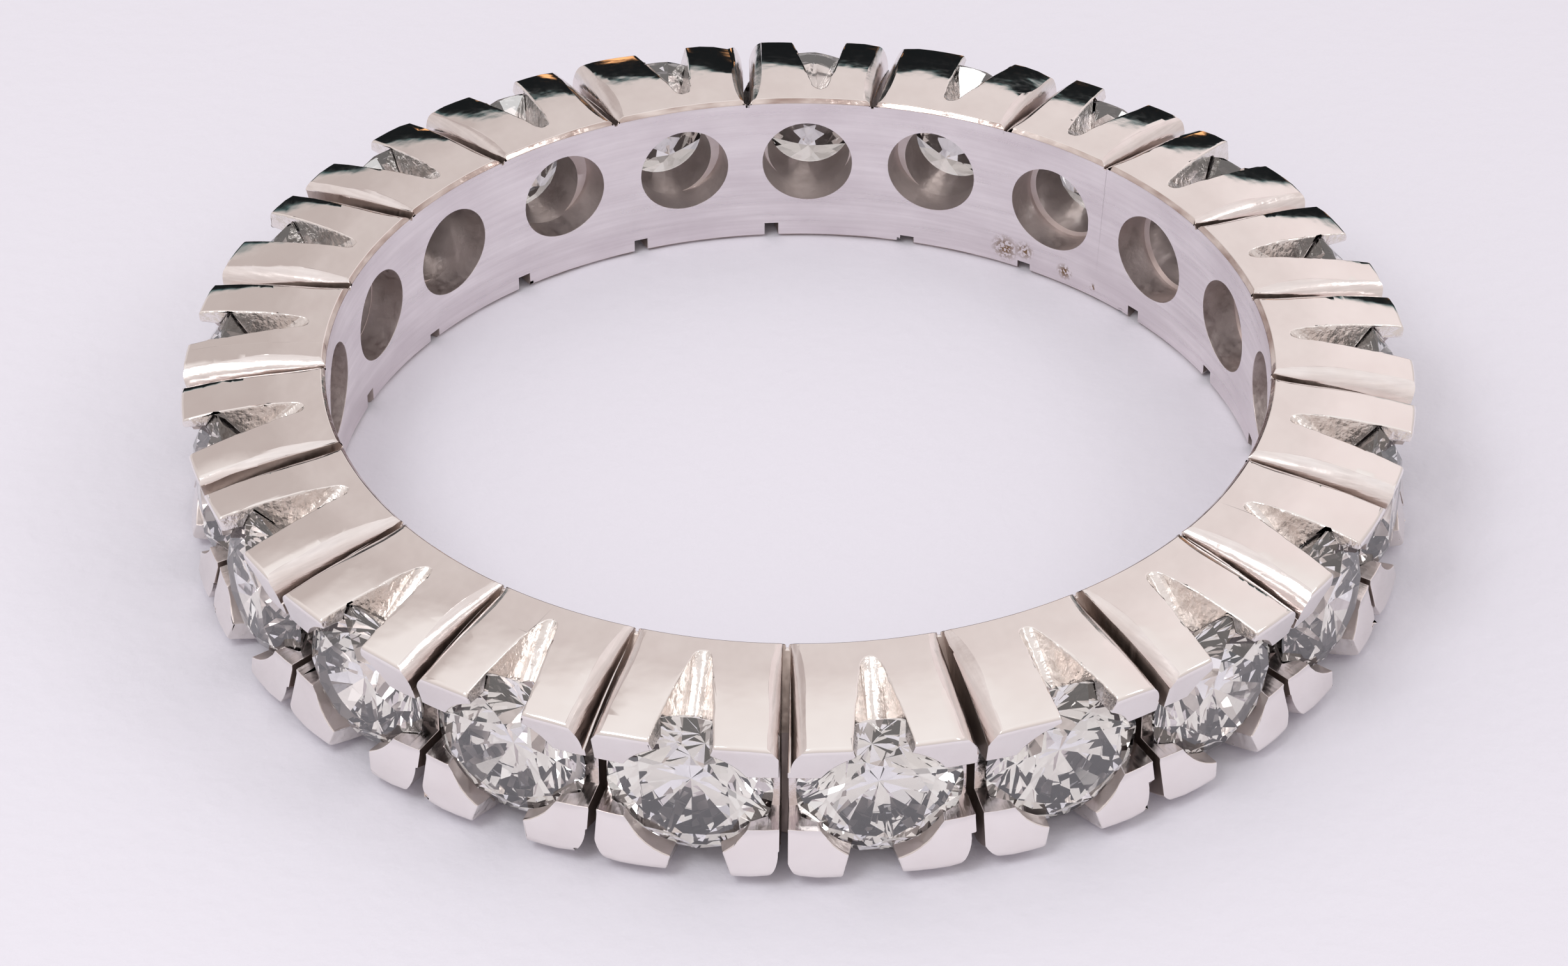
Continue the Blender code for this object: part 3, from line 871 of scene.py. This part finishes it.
def studio_world():
    """A light tent with a wall, a dark gap and warm lamps behind the ring, in reflections only."""
    world = bpy.data.worlds.new("studio")
    bpy.context.scene.world = world
    world.use_nodes = True
    nodes, links = world.node_tree.nodes, world.node_tree.links
    place = nodes.new("ShaderNodeTexCoord")
    split = nodes.new("ShaderNodeSeparateXYZ")
    links.new(place.outputs["Generated"], split.inputs["Vector"])
    way = {axis: split.outputs[axis] for axis in "XYZ"}
    tent = shades(nodes, links, spread(nodes, links, way["Z"], 0, 1, -1, 1), TENT)
    wall = shades(nodes, links, spread(nodes, links, way["X"], 0, 1, *WALL_ACROSS), WALL)
    on_wall = multiply(nodes, links,
                       spread(nodes, links, way["Y"], 0, 1, *WALL_BEHIND),
                       spread(nodes, links, way["Z"], 1, 0, *WALL_TOP),
                       spread(nodes, links, way["Z"], 0, 1, *WALL_FOOT))
    seen = blend_colours(nodes, links, on_wall, tent, wall)
    in_gap = multiply(nodes, links,
                      spread(nodes, links, way["Y"], 0, 1, *GAP_BEHIND),
                      spread(nodes, links, way["Z"], 1, 0, *GAP_TOP),
                      spread(nodes, links, way["Z"], 0, 1, *GAP_FOOT))
    dark = nodes.new("ShaderNodeMix")
    dark.data_type = 'RGBA'
    dark.blend_type = 'MULTIPLY'
    dark.inputs["Factor"].default_value = 1
    slots = [one for one in dark.inputs if one.type == 'RGBA']
    links.new(seen, slots[0])
    links.new(shades(nodes, links, in_gap, GAP), slots[1])
    seen = [one for one in dark.outputs if one.type == 'RGBA'][0]
    for spot in WARM_PLACES:
        near = nodes.new("ShaderNodeVectorMath")
        near.operation = 'DISTANCE'
        near.inputs[1].default_value = Vector(spot).normalized()
        links.new(place.outputs["Generated"], near.inputs[0])
        glow = spread(nodes, links, near.outputs["Value"], 1, 0, *WARM_SIZE)
        seen = blend_colours(nodes, links, glow, seen, WARM)
    back = nodes["Background"]
    links.new(seen, back.inputs["Color"])
    back.inputs["Strength"].default_value = 1
    path = nodes.new("ShaderNodeLightPath")
    plain = nodes.new("ShaderNodeBackground")
    plain.inputs["Color"].default_value = (*BACKDROP, 1)
    choose = nodes.new("ShaderNodeMixShader")
    links.new(path.outputs["Is Camera Ray"], choose.inputs["Fac"])
    links.new(back.outputs["Background"], choose.inputs[1])
    links.new(plain.outputs["Background"], choose.inputs[2])
    links.new(choose.outputs["Shader"], nodes["World Output"].inputs["Surface"])


def soft_lamp(name, place, size, power):
    """A square soft lamp that faces the origin, placed and sized in millimetres."""
    data = bpy.data.lights.new(name, 'AREA')
    data.size = size * MM
    data.energy = power
    lamp = bpy.data.objects.new(name, data)
    lamp.location = Vector(place) * MM
    lamp.rotation_euler = (-Vector(place)).to_track_quat('-Z', 'Y').to_euler()
    bpy.context.scene.collection.objects.link(lamp)


def camera():
    """The photograph's view."""
    data = bpy.data.cameras.new("camera")
    data.lens = LENS
    data.clip_start = 0.001
    data.clip_end = 10
    place, aim = Vector(CAMERA_PLACE) * MM, Vector(CAMERA_AIM) * MM
    look = (aim - place).to_track_quat('-Z', 'Y').to_matrix().to_4x4()
    made = bpy.data.objects.new("camera", data)
    made.matrix_world = Matrix.Translation(place) @ look @ Matrix.Rotation(CAMERA_ROLL, 4, 'Z')
    bpy.context.scene.collection.objects.link(made)
    bpy.context.scene.camera = made


METALS = ["side_polish", "rim_polish_painted_shade", "bore_satin", "drill_finish", "file_finish", "saw_finish",
          "flare_finish"]
SHADE = (0.50, 0.43, 0.43)
STAIN = (0.24, 0.15, 0.08)
STAIN_GRAIN = 16000
STAIN_CRUMBS = (0.45, 0.51)
STAIN_CORE = 1.3
STAINS = [((3.86, 7.46, 0.42), 0.32), ((4.24, 7.26, 0.49), 0.22), ((5.0, 6.75, 0.35), 0.20),
          ((5.53, 6.32, 0.28), 0.10)]

# How a relief is drawn out round the ring, outwards and in height
ALIKE = (1, 1, 1)
ROUND = (0.04, 1, 1)
WAVES = (0.35, 1, 1)
CLOUDS = (0.5, 1, 1)
OUTWARD = (1, 0.06, 1)
UPRIGHT = (1, 1, 0.08)

MATERIALS = {
    "side_polish": metal("side_polish", ((0.90, 0.86, 0.84), (0.86, 0.81, 0.79)), (0.04, 0.10),
                         (9000, ALIKE, 3, 0.0005), (1500, ALIKE, 2, 0.011)),
    # The rim's chamfer: polished, its two colours darkened towards reddish brown as painted shade along
    # the rim, broken up round the ring by the broad relief
    "rim_polish_painted_shade": metal("rim_polish_painted_shade", ((0.78, 0.70, 0.67), (0.40, 0.30, 0.27)), (0.08, 0.22),
                        (9000, ALIKE, 3, 0.004), (4200, WAVES, 2, 0.03)),
    "bore_satin": metal("bore_satin", ((0.93, 0.885, 0.895), (0.79, 0.735, 0.755)), (0.24, 0.46),
                        (11000, ROUND, 6, 0.007), (1300, CLOUDS, 5, 0.02), 0.3, STAINS),
    "drill_finish": metal("drill_finish", ((0.74, 0.67, 0.65), (0.66, 0.59, 0.57)), (0.34, 0.55),
                          (8000, ALIKE, 6, 0.007), (2500, ALIKE, 3, 0.004), 0.25),
    "file_finish": metal("file_finish", ((0.86, 0.82, 0.80), (0.80, 0.75, 0.72)), (0.12, 0.28),
                         (9000, ALIKE, 4, 0.018), (4000, ALIKE, 3, 0.03)),
    "saw_finish": metal("saw_finish", ((0.56, 0.48, 0.44), (0.45, 0.38, 0.35)), (0.3, 0.5),
                        (12000, UPRIGHT, 4, 0.004), (2500, ALIKE, 3, 0.008)),
    "flare_finish": metal("flare_finish", ((0.90, 0.85, 0.84), (0.84, 0.78, 0.76)), (0.10, 0.26),
                          (14000, OUTWARD, 4, 0.006), (2200, ALIKE, 3, 0.010), 0.25),
    "diamond": diamond(),
    "paper": paper(),
}

camera()
band = cast_band()
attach(band, "root")
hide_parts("band")
set_stones(brilliant())
near_floor_and_far()
studio_world()
soft_lamp("key_lamp", (-42, -48, 90), 40, 0.025)
soft_lamp("fill_lamp", (78, -11, 76), 26, 0.006)
bpy.context.scene.view_settings.view_transform = 'Standard'
